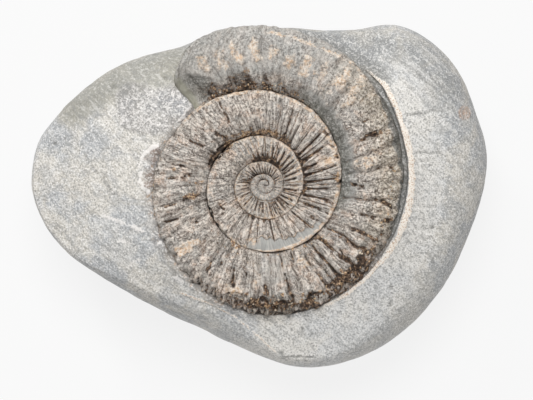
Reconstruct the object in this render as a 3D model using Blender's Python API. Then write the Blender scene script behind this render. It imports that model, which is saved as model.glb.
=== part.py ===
"""A water-worn mudstone nodule with a coiled ammonite lying in its top face.

Both pieces are described in polar terms about the ammonite's coiling axis, which is vertical:
angles run counterclockwise from +X in degrees, radii and heights are in millimetres.
"""
import math

import bmesh
import bpy

MM = 0.001

# ---- Driving dimensions, in millimetres, degrees and whole turns ----
AXIS_X = 1.27               # the coiling axis, measured from the middle of the whole specimen
AXIS_Y = 3.02
MID_PLANE_Z = 36.0          # the plane that halves every whorl

# The shell grows counterclockwise. Each pair is a number of turns and the radius of the outer edge.
SHELL_EDGE = (
    (-2.0, 0.45), (-1.5, 0.75), (-1.0, 1.15), (-0.5, 1.65), (0.0, 2.4), (0.25, 2.75), (0.5, 3.6),
    (0.75, 4.05), (1.0, 4.8), (1.25, 5.9), (1.5, 7.5), (1.75, 8.5), (2.0, 9.7), (2.25, 12.3),
    (2.5, 14.5), (2.75, 16.9), (3.0, 19.1), (3.17, 22.4), (3.25, 23.6), (3.42, 26.6), (3.5, 28.3),
    (3.6, 29.7), (3.67, 30.8), (3.75, 32.2), (3.83, 33.0), (3.92, 33.6), (4.0, 34.6), (4.08, 36.2),
    (4.17, 38.5), (4.25, 39.9), (4.3, 40.3), (4.4, 40.3),
)
FIRST_TURN = -1.0
APERTURE_ANGLE = 124.4      # where the last whorl ends, in its fifth turn
FULL_TURNS = 4
WHORL_GAP = 0.24            # the suture between one whorl and the next
THICKNESS_RATIO = 0.96      # half thickness over half width of a whorl
SHELL_STEPS = 24            # sections in a turn
SHELL_SIDES = 14            # corners of a section

# The nodule, as radii and heights that change with the angle.
RIM_MARGIN = (              # from where the stone lets go of the shell out to the rim
    (0, 1.3), (30, 1.2), (40, 1.3), (50, 0.3), (125, 0.3), (290, 0.3), (332, 0.7),
)
RIM_HEIGHT = (
    (0, 41.0), (30, 40.6), (44, 39.0), (52, 36.0), (62, 33.0), (75, 31.4), (118, 31.4), (125, 31.6),
    (130, 38.3), (160, 38.8), (185, 38.8), (220, 38.4), (250, 37.4), (270, 37.2), (290, 38.0),
    (310, 39.4), (335, 40.6),
)
LIP_ANGLE = (               # where the stone lets go of the shell: 0 is halfway up its outer side
    (0, 0.0), (44, 0.0), (52, -14.0), (62, -32.0), (75, -38.0), (118, -38.0), (125, -36.0),
    (130, 0.0), (250, 0.0),
)
FACE_EDGE_RADIUS = (
    (0, 45.3), (12, 46.2), (24, 48.8), (34, 49.5), (44, 48.0), (52, 45.8), (60, 42.8), (70, 40.9),
    (80, 39.9), (90, 39.6), (105, 39.8), (118, 40.0), (125, 40.1), (130, 34.6), (138, 36.4),
    (146, 43.2), (161, 53.7), (172, 57.6), (181, 58.4), (190, 56.0), (203, 49.1), (214, 41.4),
    (232, 35.4), (247, 32.8), (257, 33.3), (266, 36.6), (275, 42.2), (284, 44.6), (296, 45.4),
    (320, 43.4), (338, 44.1),
)
FACE_EDGE_HEIGHT = (
    (0, 37.2), (30, 37.4), (44, 36.0), (52, 33.4), (62, 30.8), (75, 30.2), (90, 29.8), (118, 30.2),
    (125, 30.4), (130, 37.6), (140, 37.6), (150, 36.2), (161, 34.0), (175, 31.8), (190, 31.8),
    (203, 33.8), (221, 36.6), (240, 37.2), (255, 36.4), (270, 35.2), (290, 35.0), (310, 35.8),
    (335, 36.8),
)
OUTLINE_RADIUS = (
    (0, 56.4), (10, 57.7), (20, 57.2), (30, 57.6), (40, 56.4), (50, 53.2), (60, 45.9), (70, 42.5),
    (80, 41.2), (90, 40.3), (100, 40.2), (110, 40.5), (120, 41.0), (130, 44.0), (140, 47.8),
    (150, 51.6), (160, 55.4), (171, 59.0), (179, 59.6), (190, 57.1), (200, 52.4), (210, 47.2),
    (220, 43.8), (232, 41.3), (245, 40.2), (258, 41.5), (270, 44.5), (282, 47.8), (295, 50.1),
    (320, 52.1), (340, 53.2), (350, 54.4),
)
OUTLINE_HEIGHT = (
    (0, 21.0), (40, 22.0), (80, 22.0), (120, 23.0), (160, 25.0), (180, 25.0), (205, 24.0),
    (240, 20.0), (290, 18.0), (330, 20.0),
)
BASE_RADIUS = (
    (0, 23.0), (45, 20.0), (90, 19.0), (135, 22.0), (180, 28.0), (225, 23.0), (270, 21.0),
    (315, 23.0),
)
SPOKES = 72                 # radial lines that the nodule is built on
SHELL_CLEARANCE = 0.5       # between the stone and the outer side of the shell
FLOOR_CLEARANCE = 1.0       # between the stone and the underside of the coil
POLE_DEPTH = 1.6            # the floor under the coiling axis, below the middle plane
BED_STEPS = 5               # stations on the bed of the last whorl
FACE_STEPS = 3
SIDE_ANGLES = (25.0, 50.0, 72.0)
UNDERSIDE_ANGLES = (18.0, 36.0, 54.0, 70.0, 82.0, 90.0)
MERGE_DISTANCE = 0.00001

STONE_COLOUR = (0.47, 0.46, 0.44, 1.0)
SHELL_COLOUR = (0.26, 0.21, 0.17, 1.0)
SMOOTH_BELOW = math.radians(40.0)


# ---- Curves through a few values ----
def gentle_slopes(rises, closed):
    """A slope at each value that never carries the curve past its neighbours."""
    if closed:
        pairs = zip(rises[-1:] + rises[:-1], rises)
    else:
        pairs = zip(rises[:1] + rises, rises + rises[-1:])
    return [2.0 * before * after / (before + after) if before * after > 0.0 else 0.0
            for before, after in pairs]


def hermite(start, end, start_slope, end_slope, span, t):
    """The smooth step from one value to the next at the fraction t."""
    t2 = t * t
    t3 = t2 * t
    return (start * (2 * t3 - 3 * t2 + 1) + end * (3 * t2 - 2 * t3)
            + span * (start_slope * (t3 - 2 * t2 + t) + end_slope * (t3 - t2)))


def around(points):
    """A smooth closed function of the angle in degrees, through the given pairs."""
    count = len(points)
    spans = [(points[(i + 1) % count][0] - points[i][0]) % 360.0 for i in range(count)]
    rises = [(points[(i + 1) % count][1] - points[i][1]) / spans[i] for i in range(count)]
    slopes = gentle_slopes(rises, closed=True)

    def value(angle):
        for i, (start, level) in enumerate(points):
            past = (angle - start) % 360.0
            if past < spans[i]:
                break
        after = (i + 1) % count
        return hermite(level, points[after][1], slopes[i], slopes[after], spans[i], past / spans[i])

    return value


def along(points):
    """A smooth open function through the given pairs, worked out on the values' logarithms."""
    spans = [b[0] - a[0] for a, b in zip(points, points[1:])]
    logs = [math.log(level) for _, level in points]
    rises = [(b - a) / span for a, b, span in zip(logs, logs[1:], spans)]
    slopes = gentle_slopes(rises, closed=False)

    def value(place):
        i = 0
        while i < len(spans) - 1 and place > points[i + 1][0]:
            i += 1
        t = (place - points[i][0]) / spans[i]
        return math.exp(hermite(logs[i], logs[i + 1], slopes[i], slopes[i + 1], spans[i], t))

    return value


shell_edge = along(SHELL_EDGE)
rim_margin = around(RIM_MARGIN)
rim_height = around(RIM_HEIGHT)
lip_angle = around(LIP_ANGLE)
face_edge_radius = around(FACE_EDGE_RADIUS)
face_edge_height = around(FACE_EDGE_HEIGHT)
outline_radius = around(OUTLINE_RADIUS)
outline_height = around(OUTLINE_HEIGHT)
base_radius = around(BASE_RADIUS)


def place(angle, radius, height):
    """A point in metres, from its angle, radius and height about the coiling axis."""
    turn = math.radians(angle)
    return ((AXIS_X + radius * math.cos(turn)) * MM, (AXIS_Y + radius * math.sin(turn)) * MM,
            height * MM)


# ---- The ammonite: one section carried along the spiral ----
def whorl(turn):
    """Centre radius, half width and half thickness of the whorl at a number of turns."""
    outer = shell_edge(turn)
    inner = shell_edge(turn - 1.0)
    half_width = (outer - inner - WHORL_GAP) / 2.0
    return (outer + inner) / 2.0, half_width, half_width * THICKNESS_RATIO


def section_point(turn, across):
    """A point of the section at this turn; the angle across starts at the outer side."""
    centre, half_width, half_thickness = whorl(turn)
    radius = centre + half_width * math.cos(across)
    height = MID_PLANE_Z + half_thickness * math.sin(across)
    return place(360.0 * turn, radius, height)


def shell_turns():
    """The turns at which the sections stand; neighbours line up from whorl to whorl."""
    last_turn = FULL_TURNS + APERTURE_ANGLE / 360.0
    steps = int((last_turn - FIRST_TURN) * SHELL_STEPS)
    return [FIRST_TURN + step / SHELL_STEPS for step in range(steps + 1)] + [last_turn]


def build_ammonite():
    turns = shell_turns()
    bm = bmesh.new()
    ring = bmesh.ops.create_circle(bm, segments=SHELL_SIDES, radius=1.0, cap_ends=False)["verts"]
    across = {vertex: math.atan2(vertex.co.y, vertex.co.x) for vertex in ring}
    for vertex in ring:
        vertex.co = section_point(turns[0], across[vertex])
    edges = list(bm.edges)
    bmesh.ops.contextual_create(bm, geom=edges)
    for turn in turns[1:]:
        before = {tuple(vertex.co): angle for vertex, angle in across.items()}
        grown = bmesh.ops.extrude_edge_only(bm, edges=edges)["geom"]
        ring = [item for item in grown if isinstance(item, bmesh.types.BMVert)]
        edges = [item for item in grown if isinstance(item, bmesh.types.BMEdge)]
        across = {vertex: before[tuple(vertex.co)] for vertex in ring}
        for vertex in ring:
            vertex.co = section_point(turn, across[vertex])
    bmesh.ops.contextual_create(bm, geom=edges)
    return finish_mesh(bm, "ammonite", SHELL_COLOUR, roughness=0.75)


# ---- The nodule: a spun disc whose rings are laid on the stone's surface ----
def last_whorl(angle):
    """The outermost whorl over this angle."""
    turns = FULL_TURNS if angle <= APERTURE_ANGLE + 1.0 else FULL_TURNS - 1
    return turns + angle / 360.0


def bed_stations(angle):
    """The pocket under the coil: down the inner whorls, then up the side of the last one."""
    turn = last_whorl(angle)
    stations = [(0.0, MID_PLANE_Z - POLE_DEPTH)]
    for inner in (3, 2, 1):
        centre, _, half_thickness = whorl(turn - inner)
        stations.append((centre, MID_PLANE_Z - half_thickness - FLOOR_CLEARANCE))
    centre, half_width, half_thickness = whorl(turn)
    half_width += SHELL_CLEARANCE
    half_thickness += SHELL_CLEARANCE
    tangent = -math.acos(-half_width / centre)
    lip = math.radians(lip_angle(angle))
    for step in range(BED_STEPS + 1):
        across = tangent + (lip - tangent) * step / BED_STEPS
        stations.append((centre + half_width * math.cos(across),
                         MID_PLANE_Z + half_thickness * math.sin(across)))
    return stations


def face_stations(angle):
    """The rim and the top face, out to the edge where the side begins."""
    rim = (bed_stations(angle)[-1][0] + rim_margin(angle), rim_height(angle))
    edge = (face_edge_radius(angle), face_edge_height(angle))
    shares = [step / FACE_STEPS for step in range(FACE_STEPS + 1)]
    return [(rim[0] + (edge[0] - rim[0]) * share, rim[1] + (edge[1] - rim[1]) * share)
            for share in shares]


def side_stations(angle):
    """From the face's edge round the widest line to the flat that the stone stands on."""
    edge_radius, edge_height = face_edge_radius(angle), face_edge_height(angle)
    wide_radius, wide_height = outline_radius(angle), outline_height(angle)
    flat_radius = base_radius(angle)
    stations = []
    for degrees in SIDE_ANGLES:
        bend = math.radians(degrees)
        stations.append((edge_radius + (wide_radius - edge_radius) * math.sin(bend),
                         wide_height + (edge_height - wide_height) * math.cos(bend)))
    stations.append((wide_radius, wide_height))
    for degrees in UNDERSIDE_ANGLES:
        bend = math.radians(degrees)
        stations.append((flat_radius + (wide_radius - flat_radius) * math.cos(bend),
                         wide_height * (1.0 - math.sin(bend))))
    return stations


def nodule_stations(angle):
    """Radius and height of every ring where it crosses the spoke at this angle."""
    return bed_stations(angle) + face_stations(angle) + side_stations(angle)


def build_matrix_stone():
    rings = len(nodule_stations(0.0))
    bm = bmesh.new()
    spoke = [bm.verts.new((float(ring), 0.0, 0.0)) for ring in range(rings)]
    for near, far in zip(spoke, spoke[1:]):
        bm.edges.new((near, far))
    bmesh.ops.spin(bm, geom=bm.verts[:] + bm.edges[:], axis=(0, 0, 1), cent=(0, 0, 0),
                   angle=math.tau, steps=SPOKES, use_merge=True)
    bmesh.ops.remove_doubles(bm, verts=bm.verts, dist=MERGE_DISTANCE)
    spokes = [nodule_stations(360.0 * spoke / SPOKES) for spoke in range(SPOKES)]
    for vertex in bm.verts:
        ring = round(math.hypot(vertex.co.x, vertex.co.y))
        spoke = round(math.atan2(vertex.co.y, vertex.co.x) / math.tau * SPOKES) % SPOKES
        vertex.co = place(360.0 * spoke / SPOKES, *spokes[spoke][ring])
    flat = [edge for edge in bm.edges if edge.is_boundary]
    bmesh.ops.contextual_create(bm, geom=flat)
    return finish_mesh(bm, "matrix_stone", STONE_COLOUR, roughness=0.85)


# ---- Objects ----
def make_material(name, colour, roughness):
    material = bpy.data.materials.new(name)
    material.use_nodes = True
    shader = material.node_tree.nodes["Principled BSDF"]
    shader.inputs["Base Color"].default_value = colour
    shader.inputs["Roughness"].default_value = roughness
    shader.inputs["Metallic"].default_value = 0.0
    return material


def finish_mesh(bm, name, colour, roughness):
    bmesh.ops.recalc_face_normals(bm, faces=bm.faces)
    mesh = bpy.data.meshes.new(name)
    bm.to_mesh(mesh)
    bm.free()
    mesh.shade_smooth()
    mesh.set_sharp_from_angle(angle=SMOOTH_BELOW)
    mesh.materials.append(make_material(name, colour, roughness))
    return bpy.data.objects.new(name, mesh)


def main():
    for old in list(bpy.data.objects):
        bpy.data.objects.remove(old, do_unlink=True)
    fossil = bpy.data.collections.new("ammonite_fossil")
    bpy.context.scene.collection.children.link(fossil)
    fossil.objects.link(build_matrix_stone())
    fossil.objects.link(build_ammonite())


main()
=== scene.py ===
# %% [markdown]
# # A fossil ammonite in its nodule
# The real object is one loose, sea-worn stone about as long as a hand is wide. A coiled shell
# lies in its top face, freed on one side only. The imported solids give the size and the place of
# both pieces; these cells make the surfaces that an eye would see.

# %% Load the frame
import itertools
import math

import bmesh
import bpy
import numpy as np
from mathutils import Matrix, Vector
from mathutils.bvhtree import BVHTree


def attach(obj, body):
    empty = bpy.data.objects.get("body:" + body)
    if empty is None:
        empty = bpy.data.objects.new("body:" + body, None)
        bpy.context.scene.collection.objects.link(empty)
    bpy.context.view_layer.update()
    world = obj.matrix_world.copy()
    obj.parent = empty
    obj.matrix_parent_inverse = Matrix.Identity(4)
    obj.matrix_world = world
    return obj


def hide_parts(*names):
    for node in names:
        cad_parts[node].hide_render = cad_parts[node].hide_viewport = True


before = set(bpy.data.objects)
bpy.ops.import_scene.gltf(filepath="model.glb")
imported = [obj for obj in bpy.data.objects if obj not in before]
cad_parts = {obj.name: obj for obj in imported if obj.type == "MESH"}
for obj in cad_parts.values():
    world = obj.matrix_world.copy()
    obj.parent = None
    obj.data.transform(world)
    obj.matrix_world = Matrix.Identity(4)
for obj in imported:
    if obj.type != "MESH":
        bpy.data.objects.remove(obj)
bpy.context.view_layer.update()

# %% [markdown]
# Both pieces turn about the shell's coiling axis, so every place is an angle, a radius and a
# height. The numbers are in millimetres and degrees, as a maker would measure them, and become
# metres last.

# %% Measures that both pieces share
MM = 0.001
AXIS_X, AXIS_Y = 1.27, 3.02
MID_PLANE_Z = 36.0
MERGE_DISTANCE = 1e-6


def smooth_through(places, values, samples):
    """Read a curve through control values that never swings past its neighbours."""
    places, values, samples = (np.asarray(item, float) for item in (places, values, samples))
    spans = np.diff(places)
    flat = (1,) * (values.ndim - 1)
    rises = np.diff(values, axis=0) / spans.reshape((-1,) + flat)
    before, after = np.concatenate([rises[:1], rises]), np.concatenate([rises, rises[-1:]])
    agree = before * after > 0
    slopes = np.where(agree, 2 * before * after / np.where(agree, before + after, 1), 0)
    first = np.clip(np.searchsorted(places, samples, side="right") - 1, 0, len(spans) - 1)
    span = spans[first].reshape(first.shape + flat)
    t = (samples - places[first]).reshape(first.shape + flat) / span
    return (values[first] * (2 * t**3 - 3 * t**2 + 1) + values[first + 1] * (3 * t**2 - 2 * t**3)
            + span * slopes[first] * (t**3 - 2 * t**2 + t)
            + span * slopes[first + 1] * (t**3 - t**2))


def around(angles, pairs):
    """Read a closed curve of (angle, value) pairs at each of the angles."""
    marks, values = np.array(pairs, float).T
    return smooth_through(np.concatenate([marks - 360, marks, marks + 360]), np.tile(values, 3),
                          np.asarray(angles, float) % 360)


def along(places, pairs):
    """Read an open curve of (place, value) pairs, level beyond its ends."""
    marks, values = zip(*pairs)
    return smooth_through(marks, values, np.clip(places, marks[0], marks[-1]))


def step(low, high, values):
    """Ease from 0 to 1 as the values go from low to high; low may be the larger."""
    t = np.clip((np.asarray(values, float) - low) / (high - low), 0, 1)
    return t * t * (3 - 2 * t)


def between(low, high, soft, values):
    """1 from low to high, easing to 0 over a soft margin at both ends."""
    return step(low - soft, low + soft, values) * step(high + soft, high - soft, values)


# %% [markdown]
# Stone and shell are rough at every scale. Lattice noise gives the larger lumps as real vertex
# moves: random numbers on the corners of a grid, blended smoothly between. It is the same on
# every run.

# %% Lumps for the vertex moves
def corner_numbers(cells, seed):
    """A fixed random number from -1 to 1 for every corner of the lattice."""
    x, y, z = (cells[..., axis].astype(np.uint64) for axis in range(3))
    mixed = x * np.uint64(374761393) + y * np.uint64(668265263) + z * np.uint64(2246822519)
    mixed = (mixed + np.uint64(seed * 3266489917)) & np.uint64(0xFFFFFFFF)
    mixed = ((mixed ^ (mixed >> np.uint64(13))) * np.uint64(1274126177)) & np.uint64(0xFFFFFFFF)
    return ((mixed ^ (mixed >> np.uint64(16))) & np.uint64(0xFFFF)).astype(float) / 32767.5 - 1


def lumps(points, size, seed=0):
    """Smooth noise from -1 to 1; the points and the size of a lump are in millimetres."""
    scaled = np.asarray(points, float) / size + 1000.0
    cells = np.floor(scaled).astype(np.int64)
    share = scaled - cells
    share = share * share * (3 - 2 * share)
    total = 0.0
    for corner in itertools.product((0, 1), repeat=3):
        weight = 1.0
        for axis, side in enumerate(corner):
            weight = weight * (share[..., axis] if side else 1 - share[..., axis])
        total = total + weight * corner_numbers(cells + np.array(corner), seed)
    return total


def roughness_of(points, size, layers, seed=0, fade=0.5):
    """Lumps with smaller lumps on them; each layer is half the size of the one before."""
    return sum(fade**layer * lumps(points, size / 2**layer, seed + layer)
               for layer in range(layers))


# %% [markdown]
# Marks are laid like a brush over the model: a stroke is a few points and a half width.
# A point is measured in millimetres to the right of the coiling axis and up the page from it.
# Ragged noise moves the edge of each stroke, so that it looks like crust and not like paint.

# %% Brushes
STEADY = (0.0, 0)            # an edge that no noise shakes
UNBROKEN = (-9, -8)          # a mark that noise doesn't break up
ANY_HEIGHT, UPPER_SIDE, TOP_FACE = (-2, -1), (4, 27), (24, 30)


def strokes(points, half_width, lines):
    """How far inside the nearest stroke each point lies: 1 on its line and 0 at its edge."""
    across, up = points[..., 0] - AXIS_X, points[..., 1] - AXIS_Y
    best = np.full(across.shape, np.inf)
    for line in lines:
        ends = np.reshape(line, (-1, 2))
        for (x0, y0), (x1, y1) in zip(ends, ends[1:] if len(ends) > 1 else ends):
            run, lift = x1 - x0, y1 - y0
            span = max(run * run + lift * lift, 1e-9)
            share = np.clip(((across - x0) * run + (up - y0) * lift) / span, 0, 1)
            best = np.minimum(best, np.hypot(across - x0 - share * run, up - y0 - share * lift))
    return np.clip(1 - best / half_width, 0, 1)


def ragged_points(points, amount, seed):
    """The same points, shaken sideways by fine noise."""
    across, up = (roughness_of(points, 1.5, 3, seed + shift, 0.7) for shift in (0, 9))
    return points + amount * np.stack([across, up, 0 * up], axis=-1)


def paint(points, noise, brushes):
    """The mark that each brush of a table leaves, from 0 to 1, in the table's order."""
    marks, shaken = [], {}
    for half_width, shake, fade_in, broken, heights, *lines in brushes.values():
        if shake not in shaken:
            shaken[shake] = ragged_points(points, *shake) if shake != STEADY else points
        mark = step(*fade_in, strokes(shaken[shake], half_width, lines))
        marks.append(mark * step(*broken, noise) * step(*heights, points[..., 2]))
    return marks


def strongest(*marks):
    """The strongest of several marks at each point, kept from 0 to 1."""
    return np.clip(np.max(marks, axis=0), 0, 1)


# %% [markdown]
# The shell is a log spiral: each turn is about twice as wide as the one inside it, and the last
# turn slackens. One curve holds the outer edge, and a whorl lies between the edge a turn ago and
# the edge now. The stone uses the same curve, because its bed is the shell's imprint.

# %% The spiral
WHORL_GAP = 0.24
THICKNESS_RATIO = 0.96
MOUTH_ANGLE = 128.0
APERTURE = 4 + MOUTH_ANGLE / 360
SHELL_EDGE = (
    (-2, 0.04), (-1.5, 0.25), (-1, 0.95), (-0.5, 1.6), (0, 2.4), (0.25, 2.75), (0.5, 3.6),
    (0.75, 4.05), (1, 4.8), (1.25, 5.9), (1.5, 7.5), (1.75, 8.5), (2, 9.7), (2.25, 12.3),
    (2.5, 14.5), (2.75, 16.9), (3, 19.1), (3.17, 22.4), (3.25, 23.6), (3.42, 26.6), (3.5, 28.3),
    (3.6, 29.7), (3.67, 30.8), (3.75, 32.2), (3.83, 33), (3.92, 33.6), (4, 34.6), (4.08, 36.2),
    (4.17, 38.5), (4.25, 39.9), (4.3, 40.3), (4.4, 40.3),
)


def shell_edge(turns):
    """Radius of the shell's outer edge after a number of turns."""
    marks, radii = zip(*SHELL_EDGE)
    return np.exp(smooth_through(marks, np.log(radii), turns))


def whorl(turns):
    """Centre radius, half width and half thickness of the whorl."""
    outer, inner = shell_edge(turns), shell_edge(np.asarray(turns) - 1)
    half_width = (outer - inner) / 2
    return (outer + inner) / 2, half_width, (half_width - WHORL_GAP / 2) * THICKNESS_RATIO


# %% [markdown]
# A closed natural surface can be made as a sheet that is rolled up: a flat grid has one direction
# for the angle and one for the way across, its rows are laid on the surface, and the two long
# edges and the rows that shrink to a point are then merged. That keeps the faces even, and every
# vertex knows where it is on the object.

# %% Rolling a sheet into a closed body
def roll_sheet(name, long_steps, cross_steps, lay):
    """Make a grid, let lay() give its points and its marks, and merge what meets."""
    bm = bmesh.new()
    bmesh.ops.create_grid(bm, x_segments=long_steps, y_segments=cross_steps, size=1.0)
    mesh = bpy.data.meshes.new(name)
    bm.to_mesh(mesh)
    bm.free()
    flat = np.empty(len(mesh.vertices) * 3)
    mesh.vertices.foreach_get("co", flat)
    here = tuple(np.rint((flat[axis::3] + 1) / 2 * steps).astype(int)
                 for axis, steps in enumerate((long_steps, cross_steps)))
    points, marks = lay()
    mesh.vertices.foreach_set("co", (points[here] * MM).ravel())
    for label, values in marks.items():
        layer = mesh.attributes.new(label, "FLOAT", "POINT")
        layer.data.foreach_set("value", values[here].astype(np.float32))
    bm = bmesh.new()
    bm.from_mesh(mesh)
    rim = [vertex for vertex in bm.verts if vertex.is_boundary]
    bmesh.ops.remove_doubles(bm, verts=rim, dist=MERGE_DISTANCE)
    bmesh.ops.dissolve_degenerate(bm, edges=bm.edges, dist=MERGE_DISTANCE / 10)
    bmesh.ops.recalc_face_normals(bm, faces=bm.faces)
    open_edges = sum(edge.is_boundary for edge in bm.edges)
    bm.to_mesh(mesh)
    bm.free()
    mesh.shade_smooth()
    mesh.update()
    piece = bpy.data.objects.new(name, mesh)
    bpy.context.scene.collection.objects.link(piece)
    mesh.calc_loop_triangles()
    print(name, "triangles:", len(mesh.loop_triangles), "open edges:", open_edges)
    return piece


def fill_between(controls, counts):
    """Lay rows smoothly between control rows: the rows' places, and two values for each."""
    places = np.concatenate([index + np.arange(count) / count
                             for index, count in enumerate(counts)] + [[len(counts)]])
    laid = smooth_through(np.arange(len(controls)), controls, places)
    return places, laid[:, 0].T, laid[:, 1].T


def polar(angles, radii, heights):
    """Points in millimetres from angles, radii and heights about the coiling axis."""
    turn = np.radians(angles)
    return np.stack([AXIS_X + radii * np.cos(turn), AXIS_Y + radii * np.sin(turn),
                     heights + 0 * turn], axis=-1)


def outward(points):
    """Unit normals of a laid sheet, from the differences between neighbours."""
    normals = np.cross(np.gradient(points, axis=0), np.gradient(points, axis=1))
    return normals / np.maximum(np.linalg.norm(normals, axis=-1, keepdims=True), 1e-9)


# %% [markdown]
# The nodule is a river-round, tapering stone. Seen from above it is star-shaped about the coiling
# axis, so each of its rings is a radius and a height that change with the angle: the bed under
# the shell, the rim of the bed, the worn top face, the edge where the side begins, the widest
# line, and the flat that it stands on.

# %% The rings of the nodule
SPOKES = 720
LIP_RING, RIM_RING, EDGE_RING = 8, 11, 18
RING_STEPS = (1, 1, 1, 1, 1, 1, 2, 3, 3, 4, 5, 5, 8, 8, 8, 7, 6, 6, 4, 5, 5, 5, 4, 4, 4, 4,
              3, 3, 3, 2, 2, 2)
LIP_ANGLE = (
    (0, 0), (44, 0), (52, -14), (62, -32), (75, -38), (112, -38), (122, -20), (130, 0), (250, 0),
)
MOUTH_LINE = (
    (0, 39.6), (115, 39.6), (117, 39.4), (119.9, 38.8), (122.7, 37.6), (125.4, 36.4),
    (128.2, 35.2), (129.6, 34.4), (130.4, 30), (131.4, 25.2), (132, 25.2), (360, 40),
)
RIM_MARGIN = (
    (0, 1.25), (9, 1.35), (18, 1.05), (27, 1.2), (38, 1.4), (44, 1), (50, 0.5), (60, 0.4),
    (125, 0.4), (230, 0.4), (262, 0.35), (290, 0.4), (305, 0.45), (321, 0.7), (333, 0.8),
    (349, 1.1),
)
RIM_HEIGHT = (
    (0, 41.2), (30, 40.8), (44, 39.2), (52, 36), (62, 33), (75, 31.4), (112, 31.4), (119, 33.8),
    (125, 37.2), (130, 38.8), (145, 41.1), (160, 41.4), (185, 41.4), (220, 40.8), (250, 38.1),
    (270, 37.3), (290, 38), (310, 39.4), (335, 40.8),
)
TRENCH_DEPTH = (
    (0, 1.5), (30, 1.6), (44, 1.2), (200, 0.6), (262, 0.8), (300, 0.7), (322, 0.9), (338, 1.4),
)
CONTACT = ((0, 0), (44, 0), (56, 1), (252, 1), (270, 0.35), (300, 0))
EDGE_RADIUS = (
    (0, 45.3), (12, 46.2), (24, 48.8), (34, 49.5), (44, 48), (52, 45.8), (60, 42.8), (70, 40.9),
    (80, 40.1), (90, 39.9), (105, 39.9), (116, 39.4), (125, 36.5), (131, 34.9), (138, 36.4),
    (146, 43.2), (161, 53.7), (172, 57.6), (181, 58.4), (190, 56), (203, 49.1), (214, 41.4),
    (232, 35.4), (247, 33.2), (257, 33.6), (266, 36.6), (275, 42.2), (284, 44.6), (296, 45.4),
    (320, 43.4), (338, 44.1),
)
EDGE_HEIGHT = (
    (0, 37.2), (30, 37.4), (44, 36), (52, 33.4), (62, 30.8), (75, 30.4), (90, 30), (112, 30.4),
    (122, 34), (130, 37.6), (140, 37.6), (150, 36.2), (161, 34), (175, 31.8), (190, 31.8),
    (203, 33.8), (221, 36.6), (240, 37.4), (255, 36.4), (270, 35.2), (290, 35), (310, 35.8),
    (335, 36.8),
)
WIDE_RADIUS = (
    (0, 56.4), (10, 57.7), (20, 57.2), (30, 57.6), (40, 56.4), (50, 53.2), (60, 45.9), (70, 42.5),
    (80, 41.2), (90, 40.3), (100, 40.2), (110, 40.5), (120, 41), (130, 44), (140, 47.8),
    (150, 51.6), (160, 55.4), (171, 59), (179, 59.6), (190, 57.1), (200, 52.4), (210, 47.2),
    (220, 43.8), (232, 41.3), (245, 40.2), (258, 41.5), (270, 44.5), (282, 47.8), (295, 50.1),
    (320, 52.1), (340, 53.2), (350, 54.4),
)
WIDE_HEIGHT = (
    (0, 21), (40, 22), (80, 22), (120, 23), (160, 25), (180, 25), (205, 24), (240, 20), (290, 18),
    (330, 20),
)
FLAT_RADIUS = ((0, 23), (45, 20), (90, 19), (135, 22), (180, 28), (225, 23), (270, 21), (315, 23))


def nodule_rings(angles):
    """Control rings from the middle of the bed to the middle of the base."""
    turns = angles / 360
    inner_part = step(129.6, 131.4, angles)
    rings = []

    def ring(radius, height):
        rings.append((radius + 0 * angles, height + 0 * angles))

    def mixed(last, before):
        """The bed follows the last whorl, and the whorl before it beyond the mouth."""
        return last * (1 - inner_part) + before * inner_part

    ring(0, MID_PLANE_Z - 1.6)
    for back in (3, 2, 1):
        centre, _, half_thick = map(mixed, whorl(4 + turns - back), whorl(3 + turns - back))
        ring(centre, MID_PLANE_Z - 1.0 - half_thick)
    beds = [(centre, half_wide + 0.05, half_thick + 0.3)
            for centre, half_wide, half_thick in (whorl(4 + turns), whorl(3 + turns))]
    tangent = -np.arccos(-beds[0][1] / beds[0][0])
    lip = np.radians(around(angles, LIP_ANGLE))
    at_mouth = (angles > 114) & (angles < 131.5)
    for share in (0, 0.25, 0.5, 0.75, 1):
        across = tangent + (lip - tangent) * share
        radius = mixed(*(centre + wide * np.cos(across) for centre, wide, _ in beds))
        rise = mixed(*(thick * np.sin(across) for _, _, thick in beds))
        cut = np.minimum(radius, along(angles, MOUTH_LINE))
        ring(np.where(at_mouth, cut, radius), MID_PLANE_Z + rise)

    lip_radius, lip_height = rings[-1]
    margin, contact = around(angles, RIM_MARGIN), around(angles, CONTACT)
    trench = 1 - contact
    buried = between(138, 254, 8, angles)
    rim_radius = lip_radius + margin - 0.35 * buried
    rim_height = around(angles, RIM_HEIGHT)
    rise = rim_height - lip_height
    floor = rim_height - around(angles, TRENCH_DEPTH)
    ring(lip_radius - 0.45 - 0.5 * buried, floor * trench + (lip_height + 0.7 * rise) * contact)
    ring(lip_radius + 0.55 * margin * trench - 0.12 * contact - 0.35 * buried,
         (floor + 0.1) * trench + (lip_height + 0.93 * rise) * contact)
    ring(rim_radius, rim_height)
    ring(rim_radius + 0.5 + 0.3 * trench, rim_height - 0.12 * trench)

    foot_radius, foot_height = rings[-1]
    edge_radius, edge_height, wide_radius, wide_height, flat_radius = (
        around(angles, curve)
        for curve in (EDGE_RADIUS, EDGE_HEIGHT, WIDE_RADIUS, WIDE_HEIGHT, FLAT_RADIUS))
    for share in (0.2, 0.4, 0.6, 0.8, 0.92, 1.0):
        ring(foot_radius + (edge_radius - foot_radius) * share,
             foot_height + (edge_height - foot_height) * share)
    for bend in np.radians((14, 32, 50, 70)):
        ring(edge_radius + (wide_radius - edge_radius) * np.sin(bend),
             wide_height + (edge_height - wide_height) * np.cos(bend))
    ring(wide_radius, wide_height)
    for bend in np.radians((18, 36, 54, 70, 82, 90)):
        ring(flat_radius + (wide_radius - flat_radius) * np.cos(bend),
             wide_height * (1 - np.sin(bend)))
    for share in (0.66, 0.33, 0):
        ring(flat_radius * share, 0)
    return np.array(rings)


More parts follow.
